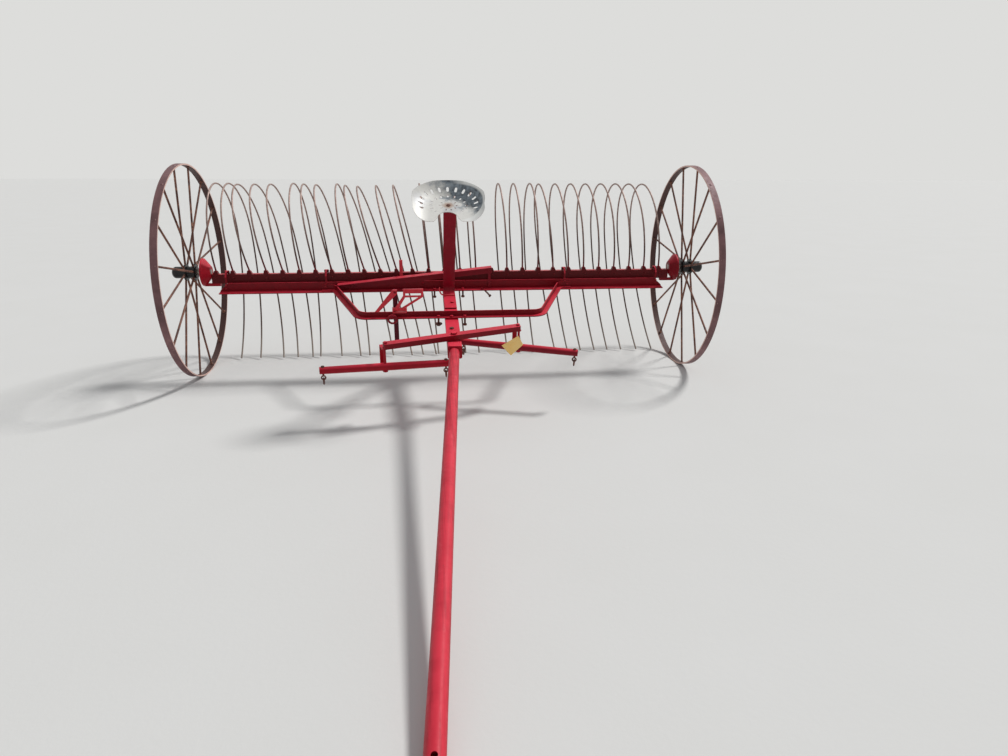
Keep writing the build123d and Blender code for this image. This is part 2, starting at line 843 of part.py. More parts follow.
# Butt clamps: two studs at the beam and two at the brace, one with a broad washer
clamp_rows = (
    (-beam_back - (beam_depth + beam_wall) / 2, butt_top, clamp_beam_gap),
    (-brace_reach - (brace_depth + brace_wall) / 2, brace_bottom, clamp_brace_gap),
)
with BuildPart() as butt_clamps:
    for place, clamp_top, gap in clamp_rows:
        clamp_bottom = clamp_top - clamp_reach
        clamp_bolt_x = butt_width / 2 + gap + clamp_bolt_radius
        for side in (-1, 1):
            with BuildSketch(level(frame, clamp_bottom)):
                with Locations((centre_x + side * clamp_bolt_x, place)):
                    Circle(clamp_bolt_radius)
            extrude(amount=clamp_reach)
            with BuildSketch(level(frame, clamp_bottom)):
                with Locations((centre_x + side * clamp_bolt_x, place)):
                    RegularPolygon(clamp_nut_radius, 6)
            extrude(amount=clamp_nut)
    with BuildSketch(level(frame, clamp_bottom + clamp_nut)):
        with Locations((centre_x - clamp_bolt_x, place)):
            Circle(clamp_disc_radius)
    extrude(amount=clamp_disc)
save(butt_clamps.part, "butt_clamps")

# Evener on its pin, with a strap under each end for a singletree
swing = radians(evener_angle)
evener_level = butt_top + evener_washer + evener_gap
evener_frame = Plane(
    origin=at(frame, centre_x, -evener_reach, evener_level),
    x_dir=frame.x_dir * cos(swing) + frame.y_dir * sin(swing),
    z_dir=frame.z_dir,
)
evener_top = evener_level + evener_height
single_level = pole_level - pole_diameter / 2 - hitch_clearance - single_diameter / 2
strap_length = evener_level - single_level
with BuildPart() as evener_bar:
    with BuildSketch(evener_frame):
        RectangleRounded(2 * evener_half, evener_width, evener_width / 4)
        Circle(evener_pin_radius + hinge_pin_clearance, mode=Mode.SUBTRACT)
    extrude(amount=evener_height)
save(evener_bar.part, "evener_bar")

with BuildPart() as evener_pin:
    with BuildSketch(Plane(origin=at(frame, centre_x, -evener_reach, butt_top), x_dir=(1, 0, 0), z_dir=frame.z_dir)):
        Circle(evener_width / 2)
    extrude(amount=evener_washer)
    with BuildSketch(Plane(origin=at(frame, centre_x, -evener_reach, butt_top), x_dir=(1, 0, 0), z_dir=frame.z_dir)):
        Circle(evener_pin_radius)
    extrude(amount=evener_washer + 3 * evener_gap + evener_height)
    with BuildSketch(Plane(origin=at(frame, centre_x, -evener_reach, evener_top + evener_gap),
                           x_dir=(1, 0, 0), z_dir=frame.z_dir)):
        RegularPolygon(evener_pin_radius * 1.8, 6)
    extrude(amount=evener_pin_radius)
save(evener_pin.part, "evener_pin")

for side, word, turn in ((-1, "left", left_single_angle), (1, "right", right_single_angle)):
    hang_x = side * (evener_half - hitch_inset)
    hang = Plane(origin=at(evener_frame, hang_x, 0, 0), x_dir=evener_frame.x_dir, z_dir=frame.z_dir)
    strap_low = strap_length + single_diameter / 2 + single_gap
    strap_depth = strap_back + strap_thickness
    with BuildPart() as strap:
        for drop in (0, strap_low):
            with BuildSketch(hang.offset(-drop)):
                Circle(strap_width / 2)
                with Locations((0, strap_depth / 2)):
                    Rectangle(strap_width, strap_depth)
            extrude(amount=-strap_thickness)
        with BuildSketch(hang):
            Circle(single_pin_radius)
            with Locations((0, strap_depth - strap_thickness / 2)):
                Rectangle(strap_width, strap_thickness)
        extrude(amount=-(strap_low + strap_thickness))
    save(strap.part, f"singletree_hanger_{word}")
    lie = radians(turn)
    along = evener_frame.x_dir * cos(lie) + evener_frame.y_dir * sin(lie)
    centre = at(hang, 0, 0, -strap_length)
    with BuildPart() as single:
        with BuildSketch(Plane(origin=centre - along * single_half, x_dir=frame.z_dir, z_dir=along)):
            Circle(single_end_radius)
        with BuildSketch(Plane(origin=centre, x_dir=frame.z_dir, z_dir=along)):
            Circle(single_diameter / 2)
        with BuildSketch(Plane(origin=centre + along * single_half, x_dir=frame.z_dir, z_dir=along)):
            Circle(single_end_radius)
        loft(ruled=True)
        with BuildSketch(Plane(origin=centre, x_dir=along, z_dir=frame.z_dir)):
            Circle(single_pin_radius + hinge_pin_clearance)
        extrude(amount=single_diameter, both=True, mode=Mode.SUBTRACT)
    save(single.part, f"singletree_{word}")
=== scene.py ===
# Looks for the dump rake: materials, fasteners, trim, floor, light and camera
from math import cos, pi, radians, sin

import bmesh
import bpy
from mathutils import Matrix, Vector


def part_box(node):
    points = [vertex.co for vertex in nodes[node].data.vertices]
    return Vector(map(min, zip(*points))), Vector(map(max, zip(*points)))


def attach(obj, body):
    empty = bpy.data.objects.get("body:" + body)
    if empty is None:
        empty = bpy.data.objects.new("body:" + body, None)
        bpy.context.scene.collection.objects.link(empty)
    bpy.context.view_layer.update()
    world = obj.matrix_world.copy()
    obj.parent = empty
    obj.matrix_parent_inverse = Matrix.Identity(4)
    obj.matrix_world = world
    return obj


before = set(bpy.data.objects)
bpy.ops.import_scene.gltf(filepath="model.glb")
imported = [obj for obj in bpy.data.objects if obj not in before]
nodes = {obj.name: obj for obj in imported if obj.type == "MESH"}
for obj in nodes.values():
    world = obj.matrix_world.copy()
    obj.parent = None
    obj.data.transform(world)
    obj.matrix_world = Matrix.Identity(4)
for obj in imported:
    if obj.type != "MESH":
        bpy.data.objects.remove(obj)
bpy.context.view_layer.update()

# Places, repeated from the part's source: the wheels in metres, what follows them in millimetres
wheel_radius = 0.686
axle = Vector((0, 1.43526, wheel_radius))
half_track = 1.661
spoke_count = 16
slope = radians(8.222006)
tine_pitch = 107.5
tine_count = 29
tine_shift = -18
hinge_tines = (1, 7, 22, 28)
hinge_shift = 36
centre_x = 6
butt_top = -118
brace_flange = -106
evener_reach = 985
evener_lift = 5.3
evener_turn = radians(17)
hanger_half = 400
hanger_drop = 108.8

# Edges sharper than this are creased, and a bolt's head starts this far inside what it sits on
crease = radians(38)
sunk = -0.001

frame_x = Vector((1, 0, 0))
frame_y = Vector((0, cos(slope), sin(slope)))
frame_z = Vector((0, -sin(slope), cos(slope)))


def fr(x, y, z):
    """A point in the sloping frame's own coordinates, in millimetres."""
    return axle + (frame_x * x + frame_y * y + frame_z * z) * 0.001


def hd(x, y, z):
    """A point in the rake head's own coordinates, in millimetres."""
    return axle + Vector((x, y, z)) * 0.001


# Mesh helpers
def loop(mesh, centre, u, v, radius, sides):
    return [
        mesh.verts.new(centre + (u * cos(a) + v * sin(a)) * radius)
        for a in (2 * pi * k / sides for k in range(sides))
    ]


def skin(mesh, loops, closed=False):
    """Quads between each loop and the next, with both ends capped unless closed."""
    pairs = list(zip(loops, loops[1:])) + ([(loops[-1], loops[0])] if closed else [])
    for one, two in pairs:
        for k in range(len(one)):
            mesh.faces.new((one[k - 1], one[k], two[k], two[k - 1]))
    if not closed:
        mesh.faces.new(loops[0])
        mesh.faces.new(loops[-1])


def sides_of(axis):
    u = axis.orthogonal().normalized()
    return u, axis.cross(u).normalized()


def lathe(mesh, origin, axis, outline, sides):
    """A turned or many-sided form about an axis, from rows of (distance, radius)."""
    axis = axis.normalized()
    u = sides_of(axis)[0]
    v = axis.cross(u)
    skin(mesh, [loop(mesh, origin + axis * d, u, v, r, sides) for d, r in outline])


def rod(mesh, points, radius, sides=10, closed=False):
    """A round rod along points, its section carried along without twist."""
    points = [Vector(p) for p in points]
    count = len(points)
    loops = []
    u = None
    for k, point in enumerate(points):
        before = points[k - 1] if k or closed else point
        after = points[(k + 1) % count] if k < count - 1 or closed else point
        along = (after - before).normalized()
        u = sides_of(along)[0] if u is None else (u - along * u.dot(along)).normalized()
        loops.append(loop(mesh, point, u, along.cross(u), radius, sides))
    skin(mesh, loops, closed)


def arc(centre, u, v, radius, start, end, steps):
    return [
        centre + (u * cos(a) + v * sin(a)) * radius
        for a in (radians(start + (end - start) * k / steps) for k in range(steps + 1))
    ]


def put(name, data):
    """A new object in the scene."""
    made = bpy.data.objects.new(name, data)
    bpy.context.scene.collection.objects.link(made)
    return made


def piece(name, body, material, mesh):
    """A finished piece that rides on a body of the part."""
    bmesh.ops.recalc_face_normals(mesh, faces=mesh.faces)
    data = bpy.data.meshes.new(name)
    mesh.to_mesh(data)
    mesh.free()
    data.polygons.foreach_set("use_smooth", [True] * len(data.polygons))
    data.set_sharp_from_angle(angle=crease)
    made = put(name, data)
    data.materials.append(material)
    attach(made, body)


# Materials
def colour(red, green, blue):
    """A colour written as the eye sees it, 0 to 255, turned into the renderer's own scale."""
    return tuple(
        (c / 12.92 if c <= 0.04045 else ((c + 0.055) / 1.055) ** 2.4)
        for c in (red / 255, green / 255, blue / 255)
    ) + (1.0,)


class Graph:
    """A material's nodes, with short calls for the few kinds used here."""

    def __init__(self, name):
        self.material = bpy.data.materials.new(name)
        self.material.use_nodes = True
        self.tree = self.material.node_tree
        self.shader = self.tree.nodes["Principled BSDF"]
        self.place = self.tree.nodes.new("ShaderNodeTexCoord").outputs["Object"]

    def node(self, kind, inputs=(), **settings):
        made = self.tree.nodes.new("ShaderNode" + kind)
        for key, value in settings.items():
            setattr(made, key, value)
        for key, value in dict(inputs).items():
            self.join(value, made.inputs[key])
        return made

    def join(self, value, socket):
        if isinstance(value, bpy.types.NodeSocket):
            self.tree.links.new(value, socket)
        else:
            socket.default_value = value

    def noise(self, scale, detail=3.0, rough=0.55, stretch=None):
        place = self.place
        if stretch:
            place = self.node("Mapping", {"Vector": place, "Rotation": (-slope, 0, 0)}).outputs[0]
            place = self.node("Mapping", {"Vector": place, "Scale": stretch}).outputs[0]
        settings = {"Vector": place, "Scale": scale, "Detail": detail, "Roughness": rough}
        return self.node("TexNoise", settings).outputs["Fac"]

    def ramp(self, value, low, high, to_low=0.0, to_high=1.0):
        settings = {"Value": value, 1: low, 2: high, 3: to_low, 4: to_high}
        return self.node("MapRange", settings).outputs[0]

    def math(self, kind, a, b):
        return self.node("Math", {0: a, 1: b}, operation=kind).outputs[0]

    def times(self, a, b):
        return self.math("MULTIPLY", a, b)

    def plus(self, a, b):
        return self.math("ADD", a, b)

    def minus(self, a, b):
        return self.math("SUBTRACT", a, b)

    def dot(self, a, b):
        return self.node("VectorMath", {0: a, 1: b}, operation="DOT_PRODUCT").outputs[1]

    def length(self, vector):
        return self.node("VectorMath", {0: vector}, operation="LENGTH").outputs[1]

    def split(self, vector):
        return self.node("SeparateXYZ", {0: vector}).outputs

    def normal(self):
        return self.node("NewGeometry").outputs["Normal"]

    def mix(self, share, a, b):
        return self.node("Mix", {0: share, 6: a, 7: b}, data_type="RGBA").outputs[2]

    def bump(self, height, distance):
        return self.node("Bump", {"Height": height, "Distance": distance, "Strength": 1.0}).outputs[0]

    def up(self):
        """How far the surface faces up: 1 on a level top, -1 underneath."""
        return self.split(self.normal())[2]

    def edges(self, radius):
        """Where the surface turns a corner: 1 on an edge, 0 on a flat."""
        bevel = self.node("Bevel", {"Radius": radius}, samples=4).outputs[0]
        return self.ramp(self.dot(bevel, self.normal()), 0.995, 0.9)

    def end(self, base, rough, bump, metal=0.0, coat=0.0, gloss=0.5):
        self.shader.inputs["Specular IOR Level"].default_value = gloss
        self.join(base, self.shader.inputs["Base Color"])
        self.join(rough, self.shader.inputs["Roughness"])
        self.join(bump, self.shader.inputs["Normal"])
        self.join(metal, self.shader.inputs["Metallic"])
        self.join(coat, self.shader.inputs["Coat Weight"])
        return self.material


def red_paint(name, shaded_face, top, wear=0.5):
    """Brushed-on crimson: dark on its sides as painted shade, pale pink where it faces up as painted light,
    with painted highlights along its edges, and rust at its edges and in small chips.
    """
    g = Graph(name)
    base = g.mix(g.noise(2.5), colour(*shaded_face), colour(*(c * 1.12 for c in shaded_face)))
    base = g.mix(g.ramp(g.noise(38, 4), 0.35, 0.75, 0, 0.4), base, colour(*(c * 0.76 for c in shaded_face)))
    # Painted light: surfaces turned up pale toward the lit top colour; the rest keep the darker colour as
    # painted shade.
    painted_top_light = g.times(g.ramp(g.up(), 0.3, 0.8), g.ramp(g.noise(9), 0.25, 0.6, 0.7, 1))
    base = g.mix(painted_top_light, base, colour(*top))
    chips = g.ramp(g.noise(150, 5, 0.65), 0.69, 0.74)
    # Painted highlight along the edges, mixed toward the top colour; the same edge mask also bares rust
    # there.
    edge = g.times(g.edges(0.002), g.ramp(g.noise(45, 4), 0.42, 0.56))
    base = g.mix(g.times(edge, 0.4), base, colour(*top))
    bare = g.times(g.math("MAXIMUM", chips, g.times(edge, g.noise(90))), wear)
    rust = g.mix(g.noise(220), colour(70, 36, 28), colour(120, 66, 44))
    base = g.mix(bare, base, rust)
    rough = g.plus(g.ramp(g.noise(60), 0, 1, 0.32, 0.52), g.times(bare, 0.35))
    brush = g.plus(g.noise(420, 2), g.times(g.noise(70, 3), 1.5))
    brush = g.minus(brush, g.times(bare, 0.8))
    return g.end(base, rough, g.bump(brush, 0.0005), gloss=0.2)


def pole_paint():
    """A steel pipe under brushed-on old red: streaks along it, paler on top as painted light, rust in its
    chips.
    """
    g = Graph("pole_paint")
    streaks = g.noise(60, 4, 0.6, (1, 0.035, 1))
    base = g.mix(g.noise(3.5), colour(150, 8, 30), colour(186, 16, 42))
    # Painted light: the upper side pales toward a lit red.
    painted_top_light = g.times(g.ramp(g.up(), 0.1, 0.75), g.ramp(g.noise(11, 3), 0.25, 0.6, 0.6, 1))
    base = g.mix(painted_top_light, base, colour(228, 58, 76))
    base = g.mix(g.ramp(streaks, 0.5, 0.66, 0, 0.45), base, colour(132, 10, 30))
    base = g.mix(g.ramp(g.noise(24, 4, 0.6, (1, 0.3, 1)), 0.58, 0.72, 0, 0.5), base, colour(238, 96, 108))
    chips = g.ramp(g.noise(130, 5, 0.65), 0.68, 0.72)
    base = g.mix(g.times(chips, 0.7), base, colour(104, 56, 40))
    rough = g.ramp(g.noise(60), 0.2, 0.8, 0.34, 0.56)
    height = g.minus(g.noise(70, 3), g.times(chips, 0.8))
    return g.end(base, rough, g.bump(height, 0.0005), gloss=0.2)


def rusty(name, dark, middle, light, scale=18.0, polish=0.0):
    """Old bare steel: three browns in patches, with pitting."""
    g = Graph(name)
    base = g.mix(g.ramp(g.noise(scale, 5, 0.6), 0.35, 0.62), colour(*dark), colour(*middle))
    base = g.mix(g.ramp(g.noise(scale * 4.3, 4), 0.52, 0.7, 0, 0.7), base, colour(*light))
    pits = g.noise(scale * 22, 4, 0.7)
    base = g.mix(g.ramp(pits, 0.4, 0.25, 0, 0.6), base, colour(38, 24, 20))
    rough = g.ramp(g.noise(scale * 3), 0.2, 0.8, 0.55 - polish, 0.88 - polish)
    wear_and_highlight = g.times(g.edges(0.002), g.ramp(g.noise(40), 0.4, 0.6))
    base = g.mix(g.times(wear_and_highlight, 0.5), base, colour(*light))
    bump = g.plus(pits, g.times(g.noise(scale * 5), 1.6))
    return g.end(base, rough, g.bump(bump, 0.0009), metal=0.15 + polish)


def rim_finish():
    """A rolled tyre: smooth mauve-brown outside, darker inside as painted shade, paler on its sides as
    painted highlight.
    """
    g = Graph("rim_finish")
    base = g.mix(g.ramp(g.noise(7, 4), 0.35, 0.65), colour(98, 66, 68), colour(132, 94, 96))
    base = g.mix(g.ramp(g.noise(60, 5, 0.7), 0.55, 0.72, 0, 0.5), base, colour(80, 50, 48))
    parts = g.split(g.place)
    spoke = g.node("CombineXYZ", {1: g.minus(parts[1], axle.y), 2: g.minus(parts[2], axle.z)})
    far = g.length(spoke.outputs[0])
    # Painted shade: the inner surface, nearer the axle, darkens.
    base = g.mix(g.ramp(far, wheel_radius - 0.004, wheel_radius - 0.007), base, colour(72, 44, 40))
    # Painted highlight: surfaces turned to either side pale toward a lit tan.
    side = g.node("Math", {0: g.split(g.normal())[0]}, operation="ABSOLUTE").outputs[0]
    wear_and_highlight = g.times(g.ramp(side, 0.6, 0.9), g.ramp(g.noise(30), 0.2, 0.45, 0.6, 1))
    base = g.mix(wear_and_highlight, base, colour(222, 186, 174))
    base = g.mix(g.ramp(g.noise(13, 4, 0.65), 0.6, 0.72, 0, 0.6), base, colour(150, 112, 110))
    pits = g.noise(330, 4, 0.7)
    rough = g.ramp(g.noise(50), 0.2, 0.8, 0.42, 0.66)
    return g.end(base, rough, g.bump(g.plus(pits, g.noise(80)), 0.0007), metal=0.25)


def tine_finish():
    """Spring steel: dark brown legs, paler over the top as painted light, with red overspray at the foot."""
    g = Graph("tine_finish")
    parts = g.split(g.place)
    wander = g.times(g.noise(26, 3), 0.12)
    high = g.plus(parts[2], wander)
    base = g.mix(g.noise(30, 4), colour(54, 36, 32), colour(96, 68, 60))
    pale = g.mix(g.ramp(g.noise(48, 3), 0.35, 0.65), colour(142, 114, 106), colour(188, 162, 152))
    # Painted light: the crown, above about 0.86 m, pales toward a lit grey-tan.
    base = g.mix(g.ramp(high, 0.86, 1.1, 0, 0.85), base, pale)
    base = g.mix(g.ramp(g.noise(9, 3), 0.55, 0.75, 0, 0.5), base, colour(120, 92, 80))
    foot = g.times(g.ramp(high, 0.84, 0.78), g.ramp(parts[1], axle.y + 0.08, axle.y + 0.06))
    base = g.mix(g.times(foot, 0.85), base, colour(112, 12, 26))
    base = g.mix(g.ramp(high, 0.3, 0.16, 0, 0.8), base, colour(138, 126, 116))
    rough = g.ramp(g.noise(80), 0.2, 0.8, 0.36, 0.6)
    return g.end(base, rough, g.bump(g.noise(260, 4, 0.65), 0.0005), metal=0.4)


def hub_finish():
    """Black enamel over a casting, greasy and glossy, with brown showing at its edges."""
    g = Graph("hub_finish")
    base = g.mix(g.noise(24, 3), colour(8, 7, 9), colour(20, 18, 21))
    wear_and_highlight = g.times(g.edges(0.003), g.ramp(g.noise(50, 4), 0.45, 0.6))
    base = g.mix(g.times(wear_and_highlight, 0.7), base, colour(92, 62, 50))
    rough = g.ramp(g.noise(40, 3), 0.3, 0.7, 0.18, 0.42)
    return g.end(base, rough, g.bump(g.noise(180, 4), 0.0006), coat=0.12, gloss=0.3)


def bright_steel():
    """Steel rubbed bright, with rust in patches."""
    g = Graph("bright_steel")
    tint = (176, 170, 160)
    base = g.mix(g.noise(60, 3), colour(*tint), colour(*(c * 0.72 for c in tint)))
    base = g.mix(g.ramp(g.noise(26, 4), 0.58, 0.68, 0, 0.8), base, colour(112, 70, 48))
    rough = g.ramp(g.noise(140), 0.3, 0.7, 0.22, 0.5)
    return g.end(base, rough, g.bump(g.noise(300, 3), 0.0003), metal=0.7)


def seat_finish():
    """Old silver paint: pale to the left and front, blue-grey to the right as tarnish and painted shade, rust
    round the bolt, and a painted highlight along the right of its rolled edge.
    """
    g = Graph("seat_finish")
    lean = (seat_side * 0.722 + seat_back * 0.692).normalized()
    offset = g.node("VectorMath", {0: g.place, 1: tuple(seat_bolt)}, operation="SUBTRACT").outputs[0]
    across = g.plus(g.dot(offset, tuple(lean)), g.times(g.minus(g.noise(18, 5, 0.65), 0.5), 0.24))
    pale = g.mix(g.noise(70, 4), colour(222, 220, 214), colour(240, 238, 232))
    pale = g.mix(g.ramp(g.noise(9, 4), 0.5, 0.66, 0, 0.5), pale, colour(186, 188, 194))
    blue = g.mix(g.ramp(g.noise(34, 5, 0.7), 0.36, 0.62), colour(56, 66, 76), colour(138, 150, 160))
    # Blue-grey to the right: partly tarnish, partly painted shade on the right wall.
    base = g.mix(g.ramp(across, 0.035, 0.1, 0, 0.95), pale, blue)
    flecks = g.ramp(g.noise(120, 5, 0.7), 0.63, 0.7, 0, 0.7)
    base = g.mix(flecks, base, colour(84, 80, 80))
    near = g.plus(g.length(offset), g.times(g.noise(60, 4), 0.03))
    base = g.mix(g.ramp(near, 0.055, 0.03, 0, 0.8), base, colour(164, 116, 80))
    wear_and_highlight = g.times(g.edges(0.002), g.ramp(g.noise(60), 0.4, 0.6))
    base = g.mix(wear_and_highlight, base, colour(120, 108, 98))
    rough = g.ramp(g.noise(50), 0.2, 0.8, 0.4, 0.62)
    # Painted highlight: a pale crescent along the right of the rolled edge.
    wide = g.math("DIVIDE", g.dot(offset, tuple(seat_side)), seat_half_width)
    deep = g.math("DIVIDE", g.dot(offset, tuple(seat_back)), seat_half_depth)
    painted_rim_highlight = g.plus(g.times(wide, wide), g.times(deep, deep))
    painted_rim_highlight = g.times(g.ramp(painted_rim_highlight, 0.86, 0.92), g.ramp(wide, 0.1, 0.5))
    base = g.mix(painted_rim_highlight, base, colour(240, 240, 236))
    dents = g.plus(g.noise(14, 2), g.times(g.noise(200, 4), 0.25))
    return g.end(base, rough, g.bump(dents, 0.002), metal=0.15)


def tag_card():
    """Faded orange card, with darker stains."""
    g = Graph("tag_card")
    base = g.mix(g.noise(30, 3), colour(255, 204, 108), colour(255, 222, 148))
    base = g.mix(g.ramp(g.noise(160, 4), 0.6, 0.7, 0, 0.4), base, colour(206, 126, 40))
    return g.end(base, 0.55, g.bump(g.noise(90, 3), 0.0006))


seat_low, seat_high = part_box("seat_boss")
seat_bolt = (seat_low + seat_high) / 2
seat_half_width = 0.2035
seat_half_depth = 0.165
seat_tilt = radians(20) + slope
seat_side = Vector((1, 0, 0))
seat_back = Vector((0, cos(seat_tilt), sin(seat_tilt)))
seat_up = Vector((0, -sin(seat_tilt), cos(seat_tilt)))

# One red paint in lit and shaded copies: each pairs a darker colour, painted shade, with a pale top colour,
# painted light; head_red and deep_red are darkest, and pink_red stands for painted highlight.
head_red = red_paint("head_red", (92, 3, 12), (200, 56, 66), 0.6)
beam_red = red_paint("beam_red", (122, 4, 22), (222, 52, 72), 0.5)
dark_red = red_paint("dark_red", (126, 10, 30), (232, 58, 78), 0.4)
deep_red = red_paint("deep_red", (84, 8, 26), (196, 50, 70), 0.5)
red = red_paint("bright_red", (156, 8, 30), (240, 58, 80), 0.5)
pink = red_paint("pink_red", (214, 60, 72), (240, 104, 112), 0.7)
pole_red = pole_paint()
rim_rust = rim_finish()
spoke_rust = rusty("spoke_rust", (74, 44, 38), (128, 84, 68), (186, 136, 112), 9, 0.05)
fastener = rusty("fastener_rust", (60, 34, 28), (104, 58, 44), (150, 96, 76), 60, 0.1)
tines = tine_finish()
hub_black = hub_finish()
steel = bright_steel()
seat_silver = seat_finish()
tag = tag_card()

# The CAD pieces' finishes: the first row whose word starts a piece's name is the one it gets
finishes = (
    ("rim_", rim_rust),
    ("spokes_", spoke_rust),
    ("hub_", hub_black),
    ("stub_axle", steel),
    ("tines_", tines),
    ("seat_pan", seat_silver),
    ("seat_spring", dark_red),
    ("seat_boss", dark_red),
    # head_red's dark colour is painted shade on the head beam and its holders and ears.
    ("head_beam", head_red),
    ("tine_holders", head_red),
    ("hinge_ears", head_red),
    ("hinge_pins", fastener),
    ("end_casting_left", red),
    ("end_casting", beam_red),
    ("frame_beam", beam_red),
    ("front_brace", beam_red),
    ("hinge_arms", beam_red),
    ("diagonal_stay", dark_red),
    ("butt_clamps", fastener),
    ("evener_bar", beam_red),
    ("pole_butt", red),
    ("pole_collar", red),
    ("pole", pole_red),
    ("trip_rod", deep_red),
    # pink_red is painted highlight on the strut, lug, pedal and its bracket.
    ("trip_strut", pink),
    ("trip_lug", pink),
    ("foot_pedal", pink),
    ("pedal_bracket", pink),
    ("singletree_right", dark_red),
    ("", red),
)
for name, node in nodes.items():
    material = next(finish for start, finish in finishes if name.startswith(start))
    node.data.materials.clear()
    node.data.materials.append(material)


# Fasteners, each a row of (point, direction, radius, height, sides)
def fasteners(name, body, rows, material):
    """One piece of many heads: domed where they have more than eight sides, otherwise flat-topped."""
    mesh = bmesh.new()
    for point, direction, radius, height, sides in rows:
        if sides > 8:
            outline = [
                (sunk, radius), (0, radius), (height * 0.45, radius * 0.92),
                (height * 0.8, radius * 0.62), (height, radius * 0.2),
            ]
        else:
            outline = [(sunk, radius), (height * 0.8, radius), (height, radius * 0.84)]
        lathe(mesh, point, direction, outline, sides)
    piece(name, body, material, mesh)


front, up = -frame_y, frame_z
tine_places = [(k - (tine_count - 1) / 2) * tine_pitch + tine_shift for k in range(tine_count)]
hinge_places = [tine_places[k] - hinge_shift for k in hinge_tines]

# Square-headed bolts that hold each tine's holder to the head beam, with nuts under its flange
rows = [(hd(x + 5, -12, -40), Vector((0, -1, 0)), 0.0075, 0.006, 4) for x in tine_places]
fasteners("holder_bolts", "rake_head", rows, head_red)
rows = [(hd(x, 14, -21), Vector((0, 0, -1)), 0.009, 0.008, 6) for x in tine_places]
fasteners("holder_nuts", "rake_head", rows, head_red)
rows = [(hd(x + s * 12.5, 0, 0), Vector((s, 0, 0)), 0.0075, 0.004, 12) for x in hinge_places for s in (-1, 1)]
fasteners("hinge_pin_heads", "rake_head", rows, fastener)

# Bolts of the frame: hinge arms, the brace's feet, both ends of the stay, and the small ones in view
rows = [(fr(x, -66, z), front, 0.009, 0.007, 4) for x in hinge_places for z in (-74, -98)]
rows += [(fr(centre_x + s * 816, -72, -93), front, 0.0095, 0.007, 6) for s in (-1, 1)]
rows += [(fr(-640, -71, -84), front, 0.0095, 0.007, 6), (fr(284, -74, -88), front, 0.0095, 0.007, 6)]
rows += [(fr(-165, -66, -76), front, 0.009, 0.007, 12), (fr(112, -66, -68), front, 0.008, 0.006, 12)]
rows += [(fr(234, -96, -112), up, 0.009, 0.008, 6), (fr(-330, -628, 50), front, 0.008, 0.006, 6)]
fasteners("frame_bolts", "frame", rows, beam_red)
rows = [(fr(centre_x + s * 80, -639.5, brace_flange), up, 0.011, 0.009, 6) for s in (-1, 1)]
rows += [(fr(centre_x, -642, brace_flange), up, 0.011, 0.009, 6)]
rows += [(fr(centre_x + s * 96, -90.5, -112), up, 0.011, 0.009, 6) for s in (-1, 1)]
rows += [(fr(centre_x + 14, -372, -109), up, 0.012, 0.008, 6)]
fasteners("stud_heads", "frame", rows, red)
rows = [(seat_bolt + seat_up * 0.009, seat_up, 0.012, 0.006, 12)]
rows += [(fr(centre_x - 6, -812, butt_top), up, 0.013, 0.008, 6)]
fasteners("dark_bolt_heads", "frame", rows, fastener)


def ring(mesh, centre, normal, radius, thick, steps):
    u, v = sides_of(normal.normalized())
    rod(mesh, arc(centre, u, v, radius, 0, 360 - 360 / steps, steps - 1), thick, 8, closed=True)


# A bent bolt under the beam, the rod's guide ring on the brace, and the clip over the spring's foot
mesh = bmesh.new()
bolt_end = fr(288, -88, -164)
rod(mesh, [fr(252, -88, -112.5), fr(254, -88, -126), fr(274, -88, -148), bolt_end], 0.0055)
nut = [(-0.006, 0.011), (0.003, 0.011), (0.004, 0.009)]
lathe(mesh, bolt_end, fr(289, -88, -165) - bolt_end, nut, 6)
piece("bent_bolt", "frame", fastener, mesh)
mesh = bmesh.new()
ring(mesh, fr(-349, -663.5, -109), front, 0.025, 0.0066, 24)
piece("rod_guide", "frame", dark_red, mesh)
mesh = bmesh.new()
clip = [
    (-58, -52), (-58, -66), (-56, -80), (-51, -92), (-43, -100),
    (-33, -103.8), (-16, -104.2), (20, -104.2), (44, -104.2),
]
rod(mesh, [fr(x, -236, z) for x, z in clip], 0.0048)
# The clip's pink_red is painted highlight.
piece("spring_clip", "frame", pink, mesh)

# Rivets where the spokes come through the rims, and shoulders inside
for side, word in ((-1, "left"), (1, "right")):
    centre = axle + Vector((side * half_track, 0, 0))
    rows, shoulders = [], []
    for k in range(spoke_count):
        angle = 2 * pi / spoke_count * (k + 0.5)
        out = Vector((0, cos(angle), sin(angle)))
        rows.append((centre + out * wheel_radius, out, 0.009, 0.0025, 12))
        shoulders.append((centre + out * (wheel_radius - 0.0092), -out, 0.0115, 0.008, 12))
    fasteners(f"rim_rivets_{word}", f"wheel_{word}", rows, rim_rust)
    fasteners(f"rim_shoulders_{word}", f"wheel_{word}", shoulders, spoke_rust)

# The evener's bolts, and an eye with a ring under each end of both singletrees
evener_x = frame_x * cos(evener_turn) + frame_y * sin(evener_turn)
evener_back = -frame_x * sin(evener_turn) + frame_y * cos(evener_turn)
evener_middle = fr(centre_x, -evener_reach, butt_top + evener_lift)


def ev(x, y, z):
    """A point in the evener's own coordinates, in millimetres."""
    return evener_middle + (evener_x * x + evener_back * y + frame_z * z) * 0.001


